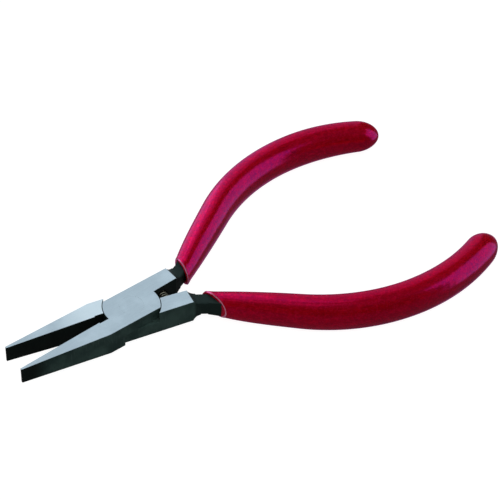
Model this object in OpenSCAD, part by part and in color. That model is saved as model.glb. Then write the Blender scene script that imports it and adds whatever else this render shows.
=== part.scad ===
// Flat nose pliers for jewellery work: two forged levers in a flush lap joint, a ground-off rivet, a coil return
// spring between the shoulders and two dipped grips.
// The origin is on the rivet's axis at the head's underside. +X points to the handles and +Z up through the head.
// Each lever is drawn closed, along +X, and then turned by rest_half_angle to where the return spring holds it.
// "Upper" and "lower" name the lap plate that a lever has: the upper lever's plate is on top.

/* [Head] */
// Thickness of the head at the joint
head_thickness = 5.7; // [4.6:0.1:7]
// Radius of the round shoulders that the lap plates turn between
lap_radius = 6.2; // [5.8:0.1:6.6]
// Centreline to the outer side, in front of the rivet
jaw_side = 4.15; // [3.6:0.05:5]
// Centreline to the outer side, behind the rivet
shoulder_side = 4.45; // [4.3:0.05:5.2]
// Rivet to the rear edge of the ground head
shoulder_length = 12.3; // [11.5:0.1:14]
// Radius of the shoulder's outer rear corner
shoulder_corner = 0.7; // [0.3:0.1:1.5]
// Centreline to the shoulder's inner face at the joint
shoulder_inner_front = 0.48; // [0.3:0.02:0.8]
// Centreline to the shoulder's inner face at the rear
shoulder_inner_rear = 0.72; // [0.5:0.02:1]

/* [Jaws] */
// Rivet to the jaw tips
jaw_length = 28; // [20:0.5:36]
// Rivet to where the jaws begin to taper
taper_start = 8.3; // [7.5:0.1:12]
// Width of one jaw at its tip
tip_width = 0.45; // [0.3:0.05:3]
// Thickness of the jaws at their tips
tip_thickness = 4; // [2:0.1:5]
// Depth of the relief behind each gripping face
root_relief = 0.28; // [0.1:0.02:0.6]

/* [Joint] */
// Angle that each lever stands open at rest
rest_half_angle = 6.6; // [4:0.1:9]
// Radius of the rivet's shank
rivet_radius = 1.9; // [1.5:0.1:2.2]
// Radius of the rivet's countersunk heads
rivet_head_radius = 2.6; // [2.4:0.1:3]
// Depth of the rivet's countersunk heads
rivet_head_depth = 0.9; // [0.5:0.1:1.2]
// Radial clearance between the rivet and the lever that turns on it
running_clearance = 0.03; // [0.01:0.01:0.1]

/* [Return spring] */
// Rivet to the spring's axis
spring_offset = 8.4; // [8.4:0.1:9.4]
// Mean radius of the spring's coils
spring_radius = 0.95; // [0.8:0.05:1.05]
// Diameter of the spring's wire
wire_diameter = 0.3; // [0.24:0.02:0.4]
// Number of coils
spring_coils = 14; // [8:1:16]
// Radius of the pockets that hold the spring
pocket_radius = 1.4; // [1.35:0.05:1.5]
// Centreline to the bottom of each pocket
pocket_bottom = 3.2; // [2.6:0.1:3.4]

/* [Handles] */
// Thickness of the neck between the head and the grip
neck_thickness = 3.5; // [3:0.1:4]
// Width of the neck
neck_width = 2.9; // [2.4:0.1:3.2]
// Heading of the neck away from the centreline
neck_angle = 22; // [20:1:30]
// Radius of the fillet from the head's faces down to the neck
neck_fillet = 1.9; // [1.2:0.1:2.5]
// Width of the tang inside the grip
tang_width = 4; // [3:0.1:4.4]
// Thickness of the tang inside the grip
tang_thickness = 4.4; // [3.5:0.1:5]
// Length of the tang inside the grip
tang_length = 64; // [50:1:66]

/* [Grips] */
// Rivet to where the handle's middle line begins, along the centreline
grip_start_x = 16.4; // [15.5:0.1:17.5]
// Centreline to where the handle's middle line begins
grip_start_y = 3.9; // [3.6:0.1:4.4]
// Heading of the handle's straight stretch
grip_angle = 30.5; // [26:0.5:34]
// Length of the handle's straight stretch
grip_straight = 19.5; // [12:0.5:22]
// Radius of the handle's bend
grip_bend_radius = 43; // [40:1:60]
// Where the upper grip's mouth lies along the handle's middle line
upper_grip_from = -0.6; // [-0.8:0.1:1.5]
// Where the upper grip ends along that line
upper_grip_to = 69.2; // [67:0.1:75]
// Where the lower grip's mouth lies
lower_grip_from = 0.6; // [-0.8:0.1:1.5]
// Where the lower grip ends
lower_grip_to = 71; // [67:0.1:75]
// Half-width of the grip at its mouth
mouth_half_width = 2.35; // [2.2:0.05:2.8]
// Half-thickness of the grip at its mouth
mouth_half_thickness = 2.6; // [2.5:0.05:3]
// Half-width of the grip at its fullest
grip_half_width = 3.56; // [3.2:0.02:4.2]
// Half-thickness of the grip at its fullest
grip_half_thickness = 4.2; // [3.4:0.05:4.6]
// Half-thickness of the grip before its rounded end
end_half_thickness = 3.1; // [3:0.05:4]
// Slant of the upper grip's mouth from square across the grip
upper_mouth_slant = 43; // [0:1:52]
// Slant of the lower grip's mouth
lower_mouth_slant = 51; // [0:1:52]
// Length of the grip's rounded end
end_round = 5.2; // [3:0.1:6]

/* [Hidden] */
$fn = 96;

over = 1;                                // how far a cutting body stands past what it cuts
mid_height = head_thickness / 2;
lap_gap = 0.02;                          // each lap plate stays this far from the head's middle plane
shoulder_gap = 0.09;                     // the plates and the shoulders stay this far from the circle between them
grip_face_gap = 0.025;                   // each gripping face stays this far from the centreline
neck_step = (head_thickness - neck_thickness) / 2;
fillet_end = shoulder_length + sqrt(neck_fillet ^ 2 - (neck_fillet - neck_step) ^ 2);
grip_start = [grip_start_x, grip_start_y];
neck_back = 5;                           // how far the neck's bar reaches back into the shoulder
neck_corner = 0.4;
tang_corner = 1;
tuck = 0.3;                              // how far each stretch of the handle starts inside the last one
tuck_angle = tuck / grip_bend_radius * 180 / PI;
nest = 0.02;                             // how much slimmer it is there on each side
swell_end = 9;                           // where the tang has its full section

// The handle's middle line, which its grip follows: straight, then one bend back towards the centreline.
function to_plan(angle) = [cos(angle), sin(angle)];
bend_start = grip_start + grip_straight * to_plan(grip_angle);
bend_centre = bend_start + grip_bend_radius * to_plan(grip_angle - 90);
function grip_heading(s) = grip_angle - max(0, s - grip_straight) / grip_bend_radius * 180 / PI;
function grip_point(s) = s < grip_straight
    ? grip_start + s * to_plan(grip_angle)
    : bend_centre + grip_bend_radius * to_plan(grip_heading(s) + 90);

// One ring of a sleeve: an oval of half-width w and half-thickness t, squarer as its power rises. It is square to the
// middle line except near the mouth, which is cut at a slant.
ring_points = 28;
slant_end = 12;
function bulge(x, power) = sign(x) * pow(abs(x), 2 / power);
function slant_at(past, mouth) = mouth * pow(max(0, 1 - past / slant_end), 2);
function sleeve_ring(s, slant, w, t, power) = [
    for (i = [0 : ring_points - 1])
        let (turn = 360 * i / ring_points,
             side = w / cos(slant) * bulge(cos(turn), power),
             across = side * to_plan(grip_heading(s) + 90 - slant))
        [grip_point(s).x + across.x, grip_point(s).y + across.y, mid_height + t * bulge(sin(turn), power)]
];

// The grip swells quickly behind its mouth, thins a little before its end, and closes in a rounded end. A ring lies
// past the mouth by one length, and has another left before the grip's end.
width_swell = 12.5;
thickness_swell = 10;
thin_length = 22;
function closing(left) = sqrt(max(0.002, 1 - pow(max(0, end_round - left) / end_round, 2)));
function outer_width(past, left) = closing(left)
    * (grip_half_width - (grip_half_width - mouth_half_width) * exp(-past / width_swell));
function thinning(left) = (grip_half_thickness - end_half_thickness)
    * pow(max(0, thin_length - left) / thin_length, 2);
function outer_thickness(past, left) = closing(left)
    * (grip_half_thickness - thinning(left)
       - (grip_half_thickness - mouth_half_thickness) * exp(-past / thickness_swell));
function swell(s) = max(0, min(1, s / swell_end));
function cavity_width(s) = (neck_width + (tang_width - neck_width) * swell(s)) / 2;
function cavity_thickness(s) = (neck_thickness + (tang_thickness - neck_thickness) * swell(s)) / 2;

outer_power = 2.15;
cavity_power = 6;
sleeve_steps = 34;
end_steps = 7;
cavity_steps = 24;
// The rings of a sleeve on the handle from one place to another: up its cavity, and then down its outside.
function outer_stations(from, to) = concat(
    [for (i = [0 : sleeve_steps]) from + (to - end_round - from) * pow(i / sleeve_steps, 1.3)],
    [for (i = [1 : end_steps]) to - end_round * (1 - sin(90 * i / end_steps))]);
function cavity_stations(from) = [for (i = [0 : cavity_steps]) tang_length + (from - tang_length) * i / cavity_steps];
function sleeve_rings(from, to, mouth) = concat(
    [for (s = cavity_stations(from))
        sleeve_ring(s, slant_at(s - from, mouth), cavity_width(s), cavity_thickness(s), cavity_power)],
    [for (s = outer_stations(from, to))
        let (past = s - from, left = to - s)
        sleeve_ring(s, slant_at(past, mouth), outer_width(past, left), outer_thickness(past, left), outer_power)]);

// The spring's axis is an arc about the rivet between the levers' centrelines, and straight in the pockets.
spring_arc = spring_offset * rest_half_angle * PI / 180;
spring_half = spring_arc + pocket_bottom - lap_gap - wire_diameter / 2;
wire_sides = 8;
wire_steps = 12;                         // rings of wire in one coil
function spring_turn(s) = max(-rest_half_angle, min(rest_half_angle, s / spring_arc * rest_half_angle));
function spring_axis(s) =
    let (turn = spring_turn(s), past = sign(s) * max(0, abs(s) - spring_arc))
    spring_offset * to_plan(turn) + past * to_plan(turn + 90);
// The end coils lie a wire apart, and the others share the rest of the length.
open_pitch = (2 * spring_half - 2 * wire_diameter) / (spring_coils - 2);
function spring_place(coil) = coil < 1 ? coil * wire_diameter
    : coil > spring_coils - 1 ? 2 * spring_half - (spring_coils - coil) * wire_diameter
    : wire_diameter + (coil - 1) * open_pitch;
function coil_point(coil) =
    let (s = spring_place(coil) - spring_half,
         out = spring_radius * cos(360 * coil) * to_plan(spring_turn(s)),
         axis = spring_axis(s))
    [axis.x + out.x, axis.y + out.y, mid_height + spring_radius * sin(360 * coil)];
function unit(v) = v / norm(v);
coil_nudge = 0.01;
function wire_ring(coil) =
    let (here = coil_point(coil),
         along = unit(coil_point(coil + coil_nudge) - coil_point(coil - coil_nudge)),
         s = spring_place(coil) - spring_half,
         middle = [spring_axis(s).x, spring_axis(s).y, mid_height],
         side = unit(cross(along, here - middle)),
         out = cross(side, along))
    [for (i = [0 : wire_sides - 1])
        here + wire_diameter / 2 * (cos(360 * i / wire_sides) * out + sin(360 * i / wire_sides) * side)];
wire_rings = [for (i = [0 : spring_coils * wire_steps]) wire_ring(i / wire_steps)];

// A closed skin over a row of rings that all have the same number of points.
module skin(rings) {
    count = len(rings[0]);
    last = len(rings) - 1;
    points = [for (ring = rings) each ring];
    walls = [for (r = [0 : last - 1], i = [0 : count - 1])
        let (j = (i + 1) % count, a = r * count, b = a + count)
        each [[a + i, a + j, b + j], [a + i, b + j, b + i]]];
    first_end = [for (i = [count - 1 : -1 : 0]) i];
    last_end = [for (i = [0 : count - 1]) last * count + i];
    polyhedron(points, concat([first_end], walls, [last_end]));
}

module rounded_section(width, thickness, corner) {
    square([width - 2 * corner, thickness], center = true);
    square([width, thickness - 2 * corner], center = true);
    for (x = [-1, 1], y = [-1, 1])
        translate([x * (width / 2 - corner), y * (thickness / 2 - corner)]) circle(corner);
}

// A straight bar along a heading, with its section centred on the head's middle plane.
module bar(start, heading, length, width, thickness, corner) {
    translate([start.x, start.y, mid_height]) rotate([90, 0, 90 + heading])
        linear_extrude(length) rounded_section(width, thickness, corner);
}

module lap_disc(radius, low, high) {
    translate([0, 0, low]) cylinder(h = high - low, r = radius);
}

module jaw_outline() {
    polygon([
        [-jaw_length, -grip_face_gap], [-taper_start, -grip_face_gap],
        [-taper_start, -root_relief], [0, -root_relief],
        [0, -jaw_side], [-taper_start, -jaw_side], [-jaw_length, -tip_width]
    ]);
}

module shoulder_outline() {
    inner_slope = (shoulder_inner_rear - shoulder_inner_front) / (shoulder_length - lap_radius);
    reach = grip_start.x - fillet_end;
    middle = grip_start.y - reach * tan(neck_angle);
    half = neck_width / 2 / cos(neck_angle);
    polygon([
        [0, shoulder_inner_front - lap_radius * inner_slope], [shoulder_length, shoulder_inner_rear],
        [fillet_end, middle - half], [fillet_end, middle + half],
        [shoulder_length + shoulder_corner, shoulder_side - shoulder_corner * 0.1],
        [shoulder_length, shoulder_side], [0, shoulder_side]
    ]);
}

// The lap plate: the joint's disc, cut off at the head's two sides.
module lap_plate() {
    intersection() {
        lap_disc(lap_radius - shoulder_gap, mid_height + lap_gap, head_thickness);
        translate([-lap_radius, -jaw_side, 0]) cube([2 * lap_radius, jaw_side + shoulder_side, head_thickness]);
    }
}

// A wedge that thins the jaws evenly from where they begin to taper to their tips.
module taper_wedge() {
    thinning = (head_thickness - tip_thickness) / 2;
    slope = thinning / (jaw_length - taper_start);
    reach = jaw_length + over;
    translate([0, over, 0]) rotate([90, 0, 0]) linear_extrude(jaw_side + 2 * over) polygon([
        [-taper_start, head_thickness], [-reach, head_thickness - slope * (reach - taper_start)],
        [-reach, head_thickness + over], [-taper_start, head_thickness + over]
    ]);
}

module fillet_cut(height) {
    translate([fillet_end, 0, height]) rotate([-90, 0, 0]) cylinder(h = shoulder_side + over, r = neck_fillet);
}

// The rivet's shape, with or without room to turn: a shank and two countersunk heads.
module rivet_body(room, past) {
    shank = rivet_radius + room;
    head = rivet_head_radius + room;
    rotate_extrude() polygon([
        [0, -past], [head, -past], [head, 0], [shank, rivet_head_depth],
        [shank, head_thickness - rivet_head_depth], [head, head_thickness], [head, head_thickness + past],
        [0, head_thickness + past]
    ]);
}

module spring_pocket() {
    translate([spring_offset, 0, mid_height]) rotate([-90, 0, 0]) cylinder(h = pocket_bottom, r = pocket_radius);
}

// The ground head of one lever, with its lap plate on top.
module head() {
    difference() {
        union() {
            difference() {
                linear_extrude(head_thickness) {
                    jaw_outline();
                    shoulder_outline();
                }
                lap_disc(lap_radius + shoulder_gap, -over, mid_height + lap_gap);
            }
            lap_plate();
        }
        taper_wedge();
        translate([0, 0, head_thickness]) mirror([0, 0, 1]) taper_wedge();
        fillet_cut(mid_height + neck_thickness / 2 + neck_fillet);
        fillet_cut(mid_height - neck_thickness / 2 - neck_fillet);
    }
}

// The tang's first stretch, which grows from the neck's section to the tang's own.
module tang_swell() {
    half_start = neck_width / 2 - nest;
    half_end = tang_width / 2 - nest;
    low_start = neck_thickness / 2 - nest;
    low_end = tang_thickness / 2 - nest;
    reach = swell_end + tuck;
    translate([grip_start.x, grip_start.y, mid_height]) rotate([0, 0, grip_angle]) intersection() {
        translate([0, 0, -tang_thickness / 2]) linear_extrude(tang_thickness)
            polygon([[-tuck, -half_start], [reach, -half_end], [reach, half_end], [-tuck, half_start]]);
        translate([0, tang_width / 2, 0]) rotate([90, 0, 0]) linear_extrude(tang_width)
            polygon([[-over, -low_start], [reach + over, -low_end], [reach + over, low_end], [-over, low_start]]);
    }
}

// The neck and the tang that the grip covers. Each stretch starts inside the last one and is a hair slimmer.
module handle() {
    tang_end = grip_heading(tang_length);
    bar(grip_start - neck_back * to_plan(neck_angle), neck_angle, neck_back + tuck, neck_width, neck_thickness,
        neck_corner);
    tang_swell();
    bar(grip_point(swell_end), grip_angle, grip_straight - swell_end, tang_width, tang_thickness, tang_corner);
    translate([bend_centre.x, bend_centre.y, mid_height]) rotate([0, 0, tang_end + 90])
        rotate_extrude(angle = grip_angle - tang_end + tuck_angle) translate([grip_bend_radius, 0])
            rounded_section(tang_width - 2 * nest, tang_thickness - 2 * nest, tang_corner);
}

module lever(rivet_room) {
    difference() {
        union() {
            head();
            handle();
        }
        rivet_body(rivet_room, over);
        spring_pocket();
    }
}

module sleeve(from, to, mouth) {
    skin(sleeve_rings(from, to, mouth));
}

// Where the upper half stands at rest, and the lower half: the same shape turned over about the centreline.
module upper_half() {
    rotate([0, 0, rest_half_angle]) children();
}

module lower_half() {
    rotate([0, 0, -rest_half_angle]) translate([0, 0, head_thickness]) rotate([180, 0, 0]) children();
}

module upper_lever() {
    color([0.72, 0.79, 0.84]) upper_half() lever(0);
}

module lower_lever() {
    color([0.66, 0.73, 0.78]) lower_half() lever(running_clearance);
}

module pivot_rivet() {
    color([0.78, 0.84, 0.88]) rivet_body(0, 0);
}

module return_spring() {
    color([0.45, 0.36, 0.26]) skin(wire_rings);
}

module upper_grip_sleeve() {
    color([0.66, 0.06, 0.22]) upper_half() sleeve(upper_grip_from, upper_grip_to, upper_mouth_slant);
}

module lower_grip_sleeve() {
    color([0.60, 0.04, 0.18]) lower_half() sleeve(lower_grip_from, lower_grip_to, lower_mouth_slant);
}

upper_lever();
lower_lever();
pivot_rivet();
return_spring();
upper_grip_sleeve();
lower_grip_sleeve();
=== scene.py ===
import math

import bmesh
import bpy
from mathutils import Matrix, Vector


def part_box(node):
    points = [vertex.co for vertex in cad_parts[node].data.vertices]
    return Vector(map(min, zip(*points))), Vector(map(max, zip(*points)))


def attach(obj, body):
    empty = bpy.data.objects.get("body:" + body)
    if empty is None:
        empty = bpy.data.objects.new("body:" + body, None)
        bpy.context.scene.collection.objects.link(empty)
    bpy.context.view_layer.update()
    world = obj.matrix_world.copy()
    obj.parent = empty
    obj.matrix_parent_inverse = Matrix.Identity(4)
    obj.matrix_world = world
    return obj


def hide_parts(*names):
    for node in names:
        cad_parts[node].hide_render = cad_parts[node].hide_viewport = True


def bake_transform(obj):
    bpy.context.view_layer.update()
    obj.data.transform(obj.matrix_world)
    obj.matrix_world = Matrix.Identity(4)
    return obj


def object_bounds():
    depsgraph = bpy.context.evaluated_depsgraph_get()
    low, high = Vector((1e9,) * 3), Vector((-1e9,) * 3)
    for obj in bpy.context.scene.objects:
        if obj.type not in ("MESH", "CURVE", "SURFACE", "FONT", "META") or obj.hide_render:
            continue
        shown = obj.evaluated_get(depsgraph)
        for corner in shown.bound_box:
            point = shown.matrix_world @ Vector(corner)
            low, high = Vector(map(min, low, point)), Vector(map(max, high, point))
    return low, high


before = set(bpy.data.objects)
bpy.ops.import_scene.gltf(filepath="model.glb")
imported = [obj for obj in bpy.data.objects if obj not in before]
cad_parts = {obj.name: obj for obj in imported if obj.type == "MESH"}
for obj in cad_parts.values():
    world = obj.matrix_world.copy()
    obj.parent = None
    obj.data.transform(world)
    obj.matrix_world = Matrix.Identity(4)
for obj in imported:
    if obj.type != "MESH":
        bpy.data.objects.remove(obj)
cad_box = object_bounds()

# ---- The tool's own measures, in metres and radians

MM = 0.001
HEAD_LOW, HEAD_HIGH = (corner.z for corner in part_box("pivot_rivet"))
MID_HEIGHT = (HEAD_LOW + HEAD_HIGH) / 2
SHOULDER_LENGTH = 12.3 * MM
TIP_HALF_THICKNESS = 2 * MM
REST_HALF_ANGLE = math.radians(6.6)
# Each half is drawn closed and on top, turned over if it is the lower one, and then turned about the rivet.
HALVES = {"upper": (1, REST_HALF_ANGLE), "lower": (-1, -REST_HALF_ANGLE)}

HANDLE_START = Vector((16.4, 3.9)) * MM
HANDLE_ANGLE = math.radians(30.5)
HANDLE_STRAIGHT = 19.5 * MM
BEND_RADIUS = 43 * MM
TANG_LENGTH = 64 * MM
NECK_HALF = Vector((1.45, 1.75)) * MM       # each HALF is a half-width and a half-thickness
TANG_HALF = Vector((2, 2.2)) * MM
SWELL_END = 9 * MM
GRIP_SPANS = {"upper": (-0.6 * MM, 69.2 * MM), "lower": (0.6 * MM, 71 * MM)}
MOUTH_SLANTS = {"upper": math.radians(43), "lower": math.radians(51)}
MOUTH_HALF = Vector((2.35, 2.6)) * MM
GRIP_HALF = Vector((3.56, 4.2)) * MM
END_HALF_THICKNESS = 3.1 * MM
SLANT_END = 12 * MM
END_ROUND = 5.2 * MM
WIDTH_SWELL, THICKNESS_SWELL = 12.5 * MM, 10 * MM       # most of each swelling is done in this length
LIP_RADIUS = 0.42 * MM
LIP_BEAD = 0.10 * MM
BEAD_LENGTH = 0.7 * MM
MOUTH_DEPTH = 3.2 * MM
THIN_LENGTH = 22 * MM
GIRTH = 24 * MM                             # the way once around the skin, for its texture

SPRING_OFFSET = 8.4 * MM
SPRING_RADIUS = 0.95 * MM
WIRE_RADIUS = 0.15 * MM
SPRING_COILS = 14
POCKET_BOTTOM = 3.2 * MM
POCKET_CLEARANCE = 0.02 * MM


# ---- Shader nodes

def new_material(name):
    """A material with one Principled shader, and its node tree."""
    material = bpy.data.materials.new(name)
    material.use_nodes = True
    tree = material.node_tree
    shader = next(n for n in tree.nodes if n.type == "BSDF_PRINCIPLED")
    return material, tree, shader


def plug(tree, socket, value):
    """Links a socket to the value, or sets it."""
    if isinstance(value, bpy.types.NodeSocket):
        tree.links.new(value, socket)
    else:
        socket.default_value = value


def node(tree, kind, settings=None, **inputs):
    """A node with its settings, and its inputs set by name. An underscore in a name stands for a space."""
    made = tree.nodes.new(kind)
    for key, value in (settings or {}).items():
        setattr(made, key, value)
    for key, value in inputs.items():
        plug(tree, made.inputs[key.replace("_", " ")], value)
    return made


def maths(tree, operation, a, b=0.5, c=0.5):
    made = tree.nodes.new("ShaderNodeMath")
    made.operation = operation
    for socket, value in zip(made.inputs, (a, b, c)):
        plug(tree, socket, value)
    return made.outputs[0]


def hypotenuse(tree, a, b):
    squares = (maths(tree, "MULTIPLY", side, side) for side in (a, b))
    return maths(tree, "SQRT", maths(tree, "ADD", *squares))


# A Mix node's two inputs and its output, by the type of what it mixes.
MIX_SOCKETS = {"FLOAT": (2, 3, 0), "RGBA": (6, 7, 2)}


def mix(tree, data_type, factor, a, b):
    made = tree.nodes.new("ShaderNodeMix")
    made.data_type = data_type
    first, second, result = MIX_SOCKETS[data_type]
    for key, value in (("Factor", factor), (first, a), (second, b)):
        plug(tree, made.inputs[key], value)
    return made.outputs[result]


def mix_colour(tree, factor, a, b):
    """a and b are sockets, or red, green and blue."""
    a, b = (colour(*each) if isinstance(each, tuple) else each for each in (a, b))
    return mix(tree, "RGBA", factor, a, b)


def mix_value(tree, factor, a, b):
    return mix(tree, "FLOAT", factor, a, b)


def layer(tree, below, mask, strength, tint):
    """A colour over the ones below it, as strongly as its mask says."""
    return mix_colour(tree, maths(tree, "MULTIPLY", mask, strength), below, tint)


def ramp(tree, value, low, high):
    """0 below low, 1 above high, and smooth between. It falls instead if low is above high."""
    made = node(tree, "ShaderNodeMapRange", {"interpolation_type": "SMOOTHSTEP"}, Value=value)
    made.inputs["From Min"].default_value = low
    made.inputs["From Max"].default_value = high
    return made.outputs["Result"]


def place(tree, scale=(1, 1, 1), turn=0.0):
    """The point on the object, in metres, turned about Z and then scaled."""
    here = node(tree, "ShaderNodeTexCoord").outputs["Object"]
    turned = node(tree, "ShaderNodeMapping", Vector=here)
    turned.inputs["Rotation"].default_value = (0, 0, turn)
    scaled = node(tree, "ShaderNodeMapping", Vector=turned.outputs["Vector"])
    scaled.inputs["Scale"].default_value = scale
    return scaled.outputs["Vector"]


def noise_value(tree, vector, scale, detail=3.0, roughness=0.5):
    return node(tree, "ShaderNodeTexNoise", Vector=vector, Scale=scale, Detail=detail,
                Roughness=roughness).outputs["Fac"]


def bump(tree, height, distance, strength=1.0, below=None):
    made = node(tree, "ShaderNodeBump", Height=height, Distance=distance, Strength=strength)
    if below:
        tree.links.new(below, made.inputs["Normal"])
    return made.outputs["Normal"]


def axis_values(tree, vector):
    return node(tree, "ShaderNodeSeparateXYZ", Vector=vector).outputs


def colour(r, g, b):
    return (r, g, b, 1.0)


# ---- Materials
# A pair is where a mask is empty and where it is full. A scale is in features to the metre, and a stretch is
# how much finer they are along each axis.

OUTER_FACES = TIP_HALF_THICKNESS - 0.35 * MM, TIP_HALF_THICKNESS - 0.25 * MM    # from the middle plane
INNER_SHADE = 1.7 * MM, 0.9 * MM            # from the centreline, for the painted shade in the notch and on the gripping faces
REAR_EDGE = SHOULDER_LENGTH + 0.10 * MM, SHOULDER_LENGTH + 0.04 * MM            # from the rivet
# Where the painted highlight on a jaw's ground face builds up and where it fades out, along the lever.
HIGHLIGHT_BUILDS, HIGHLIGHT_FADES = (-18 * MM, -9 * MM), (6 * MM, -6 * MM)
STEEL_CLOUD_SCALE, PIT_SCALE = 190, 5200
GRIND_SCALE, GRIND_STRETCH = 260, (1, 22, 22)
SCUFF_SCALE, SCUFF_STRETCH, SCUFF_ANGLE = 420, (16, 1, 1), 0.9
TEMPER_SCALE = 900
DRAW_SCALE, DRAW_STRETCH = 5200, (1, 1, 6)
VINYL_CLOUD_SCALE, WAVE_SCALE, MOTTLE_SCALE = 160, 620, 1050
GRAIN_SCALE, FLAKE_SCALE = 3600, 3900
RUN_SCALE, FINE_RUN_SCALE = (26, 900), (330, 2600)      # along the grip, and around it


def steel_material(name, turn, joint_highlight):
    """A forging: blackened all over, with its two flat faces ground bright afterwards, and painted shade near
    its centreline. turn lays the lever along X, and the last argument is how strongly a painted highlight
    brightens its jaw towards the joint."""
    material, tree, shader = new_material(name)
    point = place(tree, turn=turn)
    x, y, z = axis_values(tree, point)
    normal = node(tree, "ShaderNodeNewGeometry").outputs["True Normal"]
    facing = maths(tree, "ABSOLUTE", axis_values(tree, normal)[2])
    height = maths(tree, "ABSOLUTE", maths(tree, "SUBTRACT", z, MID_HEIGHT))

    flat = ramp(tree, facing, 0.82, 0.90)
    outside = ramp(tree, height, *OUTER_FACES)
    on_head = ramp(tree, x, *REAR_EDGE)
    ground = maths(tree, "MULTIPLY", maths(tree, "MULTIPLY", flat, outside), on_head)

    streaks = noise_value(tree, place(tree, GRIND_STRETCH, turn), GRIND_SCALE, 4, 0.65)
    scuffs = noise_value(tree, place(tree, SCUFF_STRETCH, turn + SCUFF_ANGLE), SCUFF_SCALE, 3, 0.6)
    cloud = noise_value(tree, point, STEEL_CLOUD_SCALE, 3)
    pits = noise_value(tree, point, PIT_SCALE, 2)

    bright = mix_colour(tree, ramp(tree, streaks, 0.3, 0.7), (0.47, 0.50, 0.53), (0.52, 0.55, 0.58))
    bright = layer(tree, bright, ramp(tree, cloud, 0.42, 0.68), 0.8, (0.58, 0.61, 0.64))
    bright = layer(tree, bright, ramp(tree, pits, 0.58, 0.70), 0.35, (0.39, 0.42, 0.45))
    # Painted highlight: the ground face is made paler towards the joint, as if it caught more light there.
    highlight_by_joint = maths(tree, "MULTIPLY", ramp(tree, x, *HIGHLIGHT_BUILDS), ramp(tree, x, *HIGHLIGHT_FADES))
    bright = layer(tree, bright, highlight_by_joint, joint_highlight, (0.80, 0.81, 0.82))

    black = mix_colour(tree, ramp(tree, cloud, 0.35, 0.7), (0.015, 0.028, 0.024), (0.036, 0.058, 0.048))
    black = layer(tree, black, ramp(tree, scuffs, 0.52, 0.75), 0.5, (0.058, 0.076, 0.068))
    on_neck = ramp(tree, x, SHOULDER_LENGTH, SHOULDER_LENGTH + 0.8 * MM)
    black = layer(tree, black, on_neck, 0.85, (0.006, 0.011, 0.009))
    # Painted shade: the notch and the gripping faces near the centreline are darkened to near black, as
    # recesses in shade.
    inside = ramp(tree, maths(tree, "ABSOLUTE", y), *INNER_SHADE)
    black = layer(tree, black, inside, 0.9, (0.002, 0.003, 0.002))

    plug(tree, shader.inputs["Base Color"], mix_colour(tree, ground, black, bright))
    plug(tree, shader.inputs["Metallic"], mix_value(tree, ground, 0.25, 1.0))
    satin = mix_value(tree, streaks, 0.38, 0.52)
    dull = mix_value(tree, cloud, 0.42, 0.56)
    plug(tree, shader.inputs["Roughness"], mix_value(tree, ground, dull, satin))
    shader.inputs["Specular IOR Level"].default_value = 0.12
    relief = mix_value(tree, ground, pits, streaks)
    plug(tree, shader.inputs["Normal"], bump(tree, relief, 0.006 * MM, 0.6))
    return material


def spring_material():
    """Drawn wire, straw brown from its tempering, with painted shade on the inner side of its turns and dark
    draw marks.
    """
    material, tree, shader = new_material("tempered_wire")
    point = place(tree)
    tint = noise_value(tree, point, TEMPER_SCALE, 3)
    marks = noise_value(tree, place(tree, DRAW_STRETCH), DRAW_SCALE, 3)
    straw = mix_colour(tree, ramp(tree, tint, 0.35, 0.65), (0.62, 0.53, 0.38), (0.46, 0.40, 0.30))
    x, y, z = axis_values(tree, point)
    beyond = maths(tree, "SUBTRACT", hypotenuse(tree, x, y), SPRING_OFFSET)
    off_axis = hypotenuse(tree, beyond, maths(tree, "SUBTRACT", z, MID_HEIGHT))
    # Painted shade: only the outside of the coil keeps the straw colour; the rest of the wire is painted dark,
    # as shade inside the coil and between its turns.
    lit_outside = ramp(tree, off_axis, SPRING_RADIUS + 0.5 * WIRE_RADIUS, SPRING_RADIUS + 0.95 * WIRE_RADIUS)
    wire = mix_colour(tree, lit_outside, (0.07, 0.06, 0.045), straw)
    wire = layer(tree, wire, ramp(tree, marks, 0.5, 0.7), 0.6, (0.08, 0.065, 0.05))
    plug(tree, shader.inputs["Base Color"], wire)
    shader.inputs["Metallic"].default_value = 1.0
    plug(tree, shader.inputs["Roughness"], mix_value(tree, marks, 0.25, 0.5))
    plug(tree, shader.inputs["Normal"], bump(tree, marks, 0.004 * MM, 0.6))
    return material


def skin_noise(tree, along, around, scale, detail, roughness):
    """Noise drawn out along the grip's skin. scale is how fine it is along the grip and around it."""
    flow = node(tree, "ShaderNodeCombineXYZ", X=maths(tree, "MULTIPLY", along, scale[0]),
                Y=maths(tree, "MULTIPLY", around, scale[1]))
    return noise_value(tree, flow.outputs["Vector"], 1.0, detail, roughness)


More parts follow.
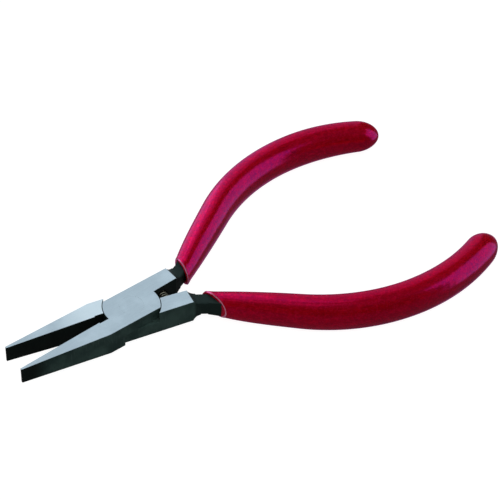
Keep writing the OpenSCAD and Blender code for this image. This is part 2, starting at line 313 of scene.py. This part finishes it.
def vinyl_material():
    """Crimson dipped vinyl with pearl flake in it: a glossy skin whose gloss shifts to violet."""
    material, tree, shader = new_material("pearl_vinyl")
    point = place(tree)
    flat_map = node(tree, "ShaderNodeUVMap", {"uv_map": "grip"}).outputs["UV"]
    along, around = axis_values(tree, flat_map)[:2]
    flake = node(tree, "ShaderNodeTexVoronoi", {"feature": "F1"}, Vector=point, Scale=FLAKE_SCALE)
    glint = axis_values(tree, flake.outputs["Color"])[0]
    cloud = noise_value(tree, point, VINYL_CLOUD_SCALE, 3)
    waves = noise_value(tree, point, WAVE_SCALE, 2)
    mottle = noise_value(tree, point, MOTTLE_SCALE, 4, 0.65)
    grain = noise_value(tree, point, GRAIN_SCALE, 2)
    runs = skin_noise(tree, along, around, RUN_SCALE, 3, 0.5)
    fine_runs = skin_noise(tree, along, around, FINE_RUN_SCALE, 3, 0.6)

    skin = mix_colour(tree, ramp(tree, cloud, 0.35, 0.65), (0.47, 0.0005, 0.0012), (0.54, 0.0007, 0.0018))
    skin = layer(tree, skin, ramp(tree, runs, 0.45, 0.75), 0.35, (0.40, 0.0004, 0.0010))
    skin = layer(tree, skin, ramp(tree, fine_runs, 0.52, 0.72), 0.6, (0.27, 0.0003, 0.0008))
    skin = layer(tree, skin, ramp(tree, mottle, 0.48, 0.66), 0.7, (0.74, 0.0016, 0.010))
    skin = layer(tree, skin, ramp(tree, glint, 0.55, 1.0), 0.65, (0.86, 0.006, 0.034))
    skin = layer(tree, skin, ramp(tree, glint, 0.34, 0.0), 0.50, (0.27, 0.0004, 0.001))
    # Painted highlight: a pale pink line along the outer edge of the lip, as if it caught the light.
    lip_highlight = maths(tree, "MULTIPLY", ramp(tree, along, -0.85 * LIP_RADIUS, -0.5 * LIP_RADIUS),
                     ramp(tree, along, 0.1 * LIP_RADIUS, -0.2 * LIP_RADIUS))
    skin = layer(tree, skin, lip_highlight, 0.85, (0.86, 0.34, 0.46))

    plug(tree, shader.inputs["Base Color"], skin)
    plug(tree, shader.inputs["Metallic"], mix_value(tree, glint, 0.26, 0.50))
    plug(tree, shader.inputs["Roughness"],
         maths(tree, "ADD", mix_value(tree, grain, 0.08, 0.20), maths(tree, "MULTIPLY", mottle, 0.10)))
    shader.inputs["Specular IOR Level"].default_value = 1.0
    shader.inputs["Specular Tint"].default_value = colour(0.21, 0.07, 1.0)
    soft = bump(tree, cloud, 0.25 * MM, 0.35)
    rippled = bump(tree, waves, 0.10 * MM, 0.35, soft)
    relief = mix_value(tree, 0.5, grain, glint)
    plug(tree, shader.inputs["Normal"], bump(tree, relief, 0.012 * MM, 0.5, rippled))
    return material


# ---- Meshes

def heading(angle):
    return Vector((math.cos(angle), math.sin(angle)))


BEND_START = HANDLE_START + HANDLE_STRAIGHT * heading(HANDLE_ANGLE)
BEND_CENTRE = BEND_START + BEND_RADIUS * heading(HANDLE_ANGLE - math.pi / 2)


def handle_heading(s):
    return HANDLE_ANGLE - max(0, s - HANDLE_STRAIGHT) / BEND_RADIUS


def handle_point(s):
    """The handle's middle line: straight, then one bend back towards the centreline."""
    if s < HANDLE_STRAIGHT:
        return HANDLE_START + s * heading(HANDLE_ANGLE)
    return BEND_CENTRE + BEND_RADIUS * heading(handle_heading(s) + math.pi / 2)


def bulge(x, power):
    """A cosine or sine pushed outwards, so that a ring is squarer the higher its power is."""
    return math.copysign(abs(x) ** (2 / power), x)


def oval_ring(s, slant, half, power, count):
    """An oval ring about the handle's middle line, turned from square across it by its slant."""
    across = heading(handle_heading(s) + math.pi / 2 - slant) / math.cos(slant)
    centre = handle_point(s)
    ring = []
    for i in range(count):
        turn = 2 * math.pi * i / count
        flat = centre + across * half.x * bulge(math.cos(turn), power)
        ring.append(Vector((flat.x, flat.y, MID_HEIGHT + half.y * bulge(math.sin(turn), power))))
    return ring


def ease(start, end, past, length):
    """From start to end, most of it within one length."""
    return end + (start - end) * math.exp(-past / length)


def grip_half(past, left):
    """The grip's half-width and half-thickness, past its mouth and with so much left before its end."""
    closing = math.sqrt(max(0.0, 1 - (max(0, END_ROUND - left) / END_ROUND) ** 2))
    thinning = (GRIP_HALF.y - END_HALF_THICKNESS) * (max(0, THIN_LENGTH - left) / THIN_LENGTH) ** 2
    width = ease(MOUTH_HALF.x, GRIP_HALF.x, past, WIDTH_SWELL)
    thickness = ease(MOUTH_HALF.y, GRIP_HALF.y, past, THICKNESS_SWELL) - thinning
    return Vector((width, thickness)) * closing


def tang_half(s):
    swell = min(1, max(0, s / SWELL_END))
    return NECK_HALF.lerp(TANG_HALF, swell)


OUTER_POWER, TANG_POWER = 2.15, 6
RING_COUNT = 112
CAVITY_STEPS, MOUTH_STEPS, LIP_STEPS, OUTER_STEPS, END_STEPS = 40, 14, 12, 150, 22
OUTER_SPACING = 1.25                        # above 1, the outer rings lie closer behind the mouth


def smooth(x):
    x = min(1, max(0, x))
    return x * x * (3 - 2 * x)


def sleeve_rings(start, end):
    """The sleeve's rings, from deep inside, round the lip and down the outside: each one's place on the
    handle, half-size, power, and way along the skin from the lip's outer side."""
    rings = []
    tip = end - start
    lip_way = math.pi * LIP_RADIUS
    for i in range(CAVITY_STEPS):
        s = TANG_LENGTH - (TANG_LENGTH - start - MOUTH_DEPTH) * i / CAVITY_STEPS
        rings.append((s, tang_half(s), TANG_POWER, start + LIP_RADIUS - s - lip_way))
    lip_inside = MOUTH_HALF - Vector((1, 1)) * 2 * LIP_RADIUS
    for i in range(MOUTH_STEPS + 1):
        past = MOUTH_DEPTH + (LIP_RADIUS - MOUTH_DEPTH) * i / MOUTH_STEPS
        part = smooth(past / MOUTH_DEPTH)
        half = lip_inside.lerp(tang_half(start + past), part)
        power = OUTER_POWER + (TANG_POWER - OUTER_POWER) * part
        rings.append((start + past, half, power, LIP_RADIUS - past - lip_way))
    for i in range(1, LIP_STEPS):
        turn = math.pi * i / LIP_STEPS
        inset = LIP_RADIUS * (1 + math.cos(turn))
        half = MOUTH_HALF - Vector((inset, inset))
        s = start + LIP_RADIUS * (1 - math.sin(turn))
        rings.append((s, half, OUTER_POWER, LIP_RADIUS * turn - lip_way))
    for i in range(OUTER_STEPS + 1):
        past = LIP_RADIUS + (tip - END_ROUND - LIP_RADIUS) * (i / OUTER_STEPS) ** OUTER_SPACING
        bead = LIP_BEAD * math.exp(-((past - LIP_RADIUS) / BEAD_LENGTH) ** 2)
        half = grip_half(past, tip - past) + Vector((bead, bead))
        rings.append((start + past, half, OUTER_POWER, past - LIP_RADIUS))
    for i in range(1, END_STEPS):
        past = tip - END_ROUND * (1 - math.sin(math.pi / 2 * i / END_STEPS))
        rings.append((start + past, grip_half(past, tip - past), OUTER_POWER, past - LIP_RADIUS))
    return rings


def in_place(half, point):
    """Where a point of a half drawn closed lies at rest."""
    over, turn = HALVES[half]
    x, y = point.x, over * point.y
    z = HEAD_LOW + HEAD_HIGH - point.z if over < 0 else point.z
    return Vector((x * math.cos(turn) - y * math.sin(turn), x * math.sin(turn) + y * math.cos(turn), z))


def add_piece(name, bm, material):
    mesh = bpy.data.meshes.new(name)
    bmesh.ops.recalc_face_normals(bm, faces=bm.faces)
    bm.to_mesh(mesh)
    bm.free()
    for polygon in mesh.polygons:
        polygon.use_smooth = True
    piece = bpy.data.objects.new(name, mesh)
    piece.data.materials.append(material)
    bpy.context.scene.collection.objects.link(piece)
    return piece


def make_sleeve(half, material):
    """A dipped grip: a hollow skin, with flat coordinates in metres along the handle and around it."""
    start, end = GRIP_SPANS[half]
    rings = sleeve_rings(start, end)
    bm = bmesh.new()
    flat_map = bm.loops.layers.uv.new("grip")
    rows = []
    for s, size, power, way in rings:
        slant = MOUTH_SLANTS[half] * max(0, 1 - max(0, s - start) / SLANT_END) ** 2
        ring = oval_ring(s, slant, size, power, RING_COUNT)
        rows.append([bm.verts.new(in_place(half, point)) for point in ring])
    for r in range(len(rows) - 1):
        for i in range(RING_COUNT):
            j = (i + 1) % RING_COUNT
            face = bm.faces.new((rows[r][i], rows[r][j], rows[r + 1][j], rows[r + 1][i]))
            places = ((r, i), (r, i + 1), (r + 1, i + 1), (r + 1, i))
            for loop, (row, step) in zip(face.loops, places):
                loop[flat_map].uv = (rings[row][3], step / RING_COUNT * GIRTH)
    for row, s, way in ((rows[0], rings[0][0], rings[0][3]), (rows[-1], end, end - start)):
        centre = handle_point(s)
        hub = bm.verts.new(in_place(half, Vector((centre.x, centre.y, MID_HEIGHT))))
        for i in range(RING_COUNT):
            face = bm.faces.new((row[i], row[(i + 1) % RING_COUNT], hub))
            for loop in face.loops:
                loop[flat_map].uv = (way, i / RING_COUNT * GIRTH)
    piece = add_piece(half + "_grip", bm, material)
    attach(piece, half + "_half")
    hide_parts(half + "_grip_sleeve")
    return piece


def spring_centre(s):
    """The spring's axis: an arc about the rivet between the levers' centrelines, and straight in their
    pockets."""
    arc = SPRING_OFFSET * REST_HALF_ANGLE
    turn = max(-REST_HALF_ANGLE, min(REST_HALF_ANGLE, s / arc * REST_HALF_ANGLE))
    past = math.copysign(max(0, abs(s) - arc), s)
    flat = SPRING_OFFSET * heading(turn) + past * heading(turn + math.pi / 2)
    return Vector((flat.x, flat.y, MID_HEIGHT)), turn


def coil_point(coil, half_length):
    """The middle of the wire after so many coils, and of the spring there. The two end coils are closed."""
    end_gap = 2 * WIRE_RADIUS
    pitch = (2 * half_length - 2 * end_gap) / (SPRING_COILS - 2)
    if coil < 1:
        rise = coil * end_gap
    elif coil > SPRING_COILS - 1:
        rise = 2 * half_length - (SPRING_COILS - coil) * end_gap
    else:
        rise = end_gap + (coil - 1) * pitch
    centre, turn = spring_centre(rise - half_length)
    side = heading(turn) * math.cos(2 * math.pi * coil)
    return centre + SPRING_RADIUS * Vector((side.x, side.y, math.sin(2 * math.pi * coil))), centre


COIL_STEPS, WIRE_SIDES = 40, 12
COIL_NUDGE = 0.01                           # in coils, to each side, for the wire's heading


def make_spring(material):
    half_length = SPRING_OFFSET * REST_HALF_ANGLE + POCKET_BOTTOM - WIRE_RADIUS - POCKET_CLEARANCE
    bm = bmesh.new()
    rows = []
    steps = SPRING_COILS * COIL_STEPS
    for k in range(steps + 1):
        coil = SPRING_COILS * k / steps
        here, centre = coil_point(coil, half_length)
        ahead = coil_point(min(SPRING_COILS, coil + COIL_NUDGE), half_length)[0]
        behind = coil_point(max(0, coil - COIL_NUDGE), half_length)[0]
        along = (ahead - behind).normalized()
        side = along.cross(here - centre).normalized()
        out = side.cross(along)
        row = []
        for i in range(WIRE_SIDES):
            turn = 2 * math.pi * i / WIRE_SIDES
            row.append(bm.verts.new(here + WIRE_RADIUS * (math.cos(turn) * out + math.sin(turn) * side)))
        rows.append(row)
    for a, b in zip(rows, rows[1:]):
        for i in range(WIRE_SIDES):
            j = (i + 1) % WIRE_SIDES
            bm.faces.new((a[i], a[j], b[j], b[i]))
    bm.faces.new(rows[0])
    bm.faces.new(rows[-1])
    piece = add_piece("coil_spring", bm, material)
    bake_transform(piece)
    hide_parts("return_spring")
    return piece


WELD_GAP = 0.002 * MM
FLAT_ANGLE, SHARP_ANGLE = math.radians(0.4), math.radians(28)
LEVER_EDGE, RIVET_EDGE = 0.09 * MM, 0.02 * MM


def round_edges(piece, width):
    """Joins the node's split faces, and breaks its sharp edges as a finished forging's are."""
    weld = piece.modifiers.new("join", "WELD")
    weld.merge_threshold = WELD_GAP
    flatten = piece.modifiers.new("flatten", "DECIMATE")
    flatten.decimate_type = "DISSOLVE"
    flatten.angle_limit = FLAT_ANGLE
    bevel = piece.modifiers.new("edges", "BEVEL")
    bevel.width = width
    bevel.segments = 2
    bevel.angle_limit = SHARP_ANGLE


def wear(node_name, material):
    """A CAD node with this material in place of its own."""
    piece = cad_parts[node_name]
    piece.data.materials.clear()
    piece.data.materials.append(material)
    return piece


def lit_group(name, *pieces):
    """A set of pieces that a light is kept to, as a photographer flags a light off the rest."""
    group = bpy.data.collections.new(name)
    for piece in pieces:
        group.objects.link(piece)
    return group


upper_steel = steel_material("upper_forging", -REST_HALF_ANGLE, joint_highlight=0.0)
upper_lever = wear("upper_lever", upper_steel)
lower_lever = wear("lower_lever", steel_material("lower_forging", REST_HALF_ANGLE, joint_highlight=0.75))
rivet = wear("pivot_rivet", upper_steel)
round_edges(upper_lever, LEVER_EDGE)
round_edges(lower_lever, LEVER_EDGE)
round_edges(rivet, RIVET_EDGE)
vinyl = vinyl_material()
grips = lit_group("grips", make_sleeve("upper", vinyl), make_sleeve("lower", vinyl))
metal = lit_group("metal", upper_lever, lower_lever, rivet, make_spring(spring_material()))

# ---- Camera, floor and lights

CAMERA_AZIMUTH = math.radians(-33.97)
CAMERA_ELEVATION = math.radians(44.54)
CAMERA_ROLL = math.radians(2.42)
CAMERA_DISTANCE = 392.2 * MM
FIELD_WIDTH = 0.2676                            # the frame's width over the distance
RIVET_IN_FRAME = Vector((-0.2369, -0.1104))     # from the frame's middle to the rivet, in frame widths
CLIP_START, CLIP_END = 0.01, 10


def make_camera():
    """It looks along its azimuth and elevation, and stands so that the rivet's top is at its place in the
    frame."""
    data = bpy.data.cameras.new("camera")
    data.lens = data.sensor_width / FIELD_WIDTH
    data.clip_start, data.clip_end = CLIP_START, CLIP_END
    data.dof.use_dof = False
    camera = bpy.data.objects.new("camera", data)
    bpy.context.scene.collection.objects.link(camera)
    a, e = CAMERA_AZIMUTH, CAMERA_ELEVATION
    back = Vector((math.sin(a) * math.cos(e), -math.cos(a) * math.cos(e), math.sin(e)))
    level = Vector((math.cos(a), math.sin(a), 0))
    upright = back.cross(level)
    right = math.cos(CAMERA_ROLL) * level + math.sin(CAMERA_ROLL) * upright
    up = math.cos(CAMERA_ROLL) * upright - math.sin(CAMERA_ROLL) * level
    offset = (right * RIVET_IN_FRAME.x + up * RIVET_IN_FRAME.y) * FIELD_WIDTH * CAMERA_DISTANCE
    camera.location = Vector((0, 0, HEAD_HIGH)) - offset + back * CAMERA_DISTANCE
    camera.rotation_mode = "QUATERNION"
    camera.rotation_quaternion = Matrix((right, up, back)).transposed().to_quaternion()
    bpy.context.scene.camera = camera


STAGE_GLOW = 0.97
FLOOR_SIZE = 6
BACKDROP_RADIUS, BACKDROP_DEPTH, BACKDROP_RISE = 2.8, 4, 1.9


def add_stage(name, maker, **settings):
    """A pale surface round the tool, that only the camera sees: it neither lights the tool nor shades it."""
    maker(**settings)
    surface = bpy.context.object
    surface.name = name
    surface.visible_diffuse = False
    surface.visible_glossy = False
    surface.visible_transmission = False
    surface.visible_shadow = False
    material, tree, shader = new_material(name)
    shader.inputs["Base Color"].default_value = colour(0.25, 0.25, 0.25)
    shader.inputs["Roughness"].default_value = 0.9
    shader.inputs["Specular IOR Level"].default_value = 0.0
    shader.inputs["Emission Color"].default_value = colour(1, 1, 1)
    shader.inputs["Emission Strength"].default_value = STAGE_GLOW
    surface.data.materials.append(material)


def make_stage():
    add_stage("floor", bpy.ops.mesh.primitive_plane_add, size=FLOOR_SIZE, location=(0, 0, cad_box[0].z))
    add_stage("backdrop", bpy.ops.mesh.primitive_cylinder_add, radius=BACKDROP_RADIUS, depth=BACKDROP_DEPTH,
              vertices=96, end_fill_type="NOTHING", location=(0, 0, cad_box[0].z + BACKDROP_RISE))


def make_world():
    """The dim room around the lights, a little paler below, as over a pale bench."""
    world = bpy.data.worlds.new("dim_room")
    bpy.context.scene.world = world
    world.use_nodes = True
    tree = world.node_tree
    background = tree.nodes["Background"]
    high = axis_values(tree, node(tree, "ShaderNodeTexCoord").outputs["Generated"])[2]
    above = ramp(tree, high, -0.25, 0.15)
    plug(tree, background.inputs["Color"],
         mix_colour(tree, above, (0.12, 0.12, 0.125), (0.035, 0.036, 0.038)))


TOOL_MIDDLE = Vector((0.025, 0, 0))
AROUND = (-115, -28, 62, 152)                   # azimuths of the low lights round the metal


def add_light(name, group, azimuth, elevation, size, tint, reflected=True):
    """A soft rectangular light, 1 m from the tool's middle, kept to a group of pieces unless that is None.
    The azimuth runs from +X towards +Y, both angles are in degrees, and the tint is the light's radiance."""
    data = bpy.data.lights.new(name, "AREA")
    data.shape = "RECTANGLE"
    data.size, data.size_y = size
    data.energy = math.pi * size[0] * size[1]
    data.color = tint
    light = bpy.data.objects.new(name, data)
    a, e = math.radians(azimuth), math.radians(elevation)
    back = Vector((math.cos(a) * math.cos(e), math.sin(a) * math.cos(e), math.sin(e)))
    light.location = TOOL_MIDDLE + back
    light.rotation_mode = "QUATERNION"
    light.rotation_quaternion = back.to_track_quat("Z", "Y")
    light.visible_camera = False
    light.visible_glossy = reflected
    if group:
        light.light_linking.receiver_collection = group
    bpy.context.scene.collection.objects.link(light)


make_camera()
make_stage()
make_world()
add_light("grips_right", grips, -25, 13, (1.0, 1.25), (0.74, 0.78, 1.46))
add_light("grips_left", grips, 103, 20, (0.90, 1.30), (1.40, 0.75, 1.40))
add_light("grips_left_middle", grips, 73, 22, (0.32, 1.40), (0.75, 0.34, 0.77))
add_light("grips_left_edge", grips, 54, 24, (0.34, 1.30), (0.50, 0.20, 0.42))
add_light("grips_top", grips, 78, 70, (0.50, 0.40), (0.70, 0.45, 0.77))
add_light("grips_zenith", grips, -150, 80, (0.45, 0.45), (0.40, 0.25, 0.32))
add_light("grips_rim", grips, 56, -44, (1.3, 1.1), (0.42, 0.07, 0.20))
add_light("metal_above", metal, 0, 88, (2.40, 2.40), (0.78, 0.95, 1.06))
for azimuth in AROUND:
    add_light("metal_around", metal, azimuth, 14, (1.20, 0.85), (0.72, 0.90, 0.96))
add_light("overhead_fill", None, -120, 82, (1.2, 1.2), (1.15, 1.15, 1.15), reflected=False)
add_light("floor_bounce", None, 0, -85, (1.5, 1.5), (0.44, 0.44, 0.44), reflected=False)
add_light("front_fill", grips, -168, -5, (1.1, 0.9), (1.2, 1.2, 1.3), reflected=False)
bpy.context.scene.view_settings.view_transform = "Standard"
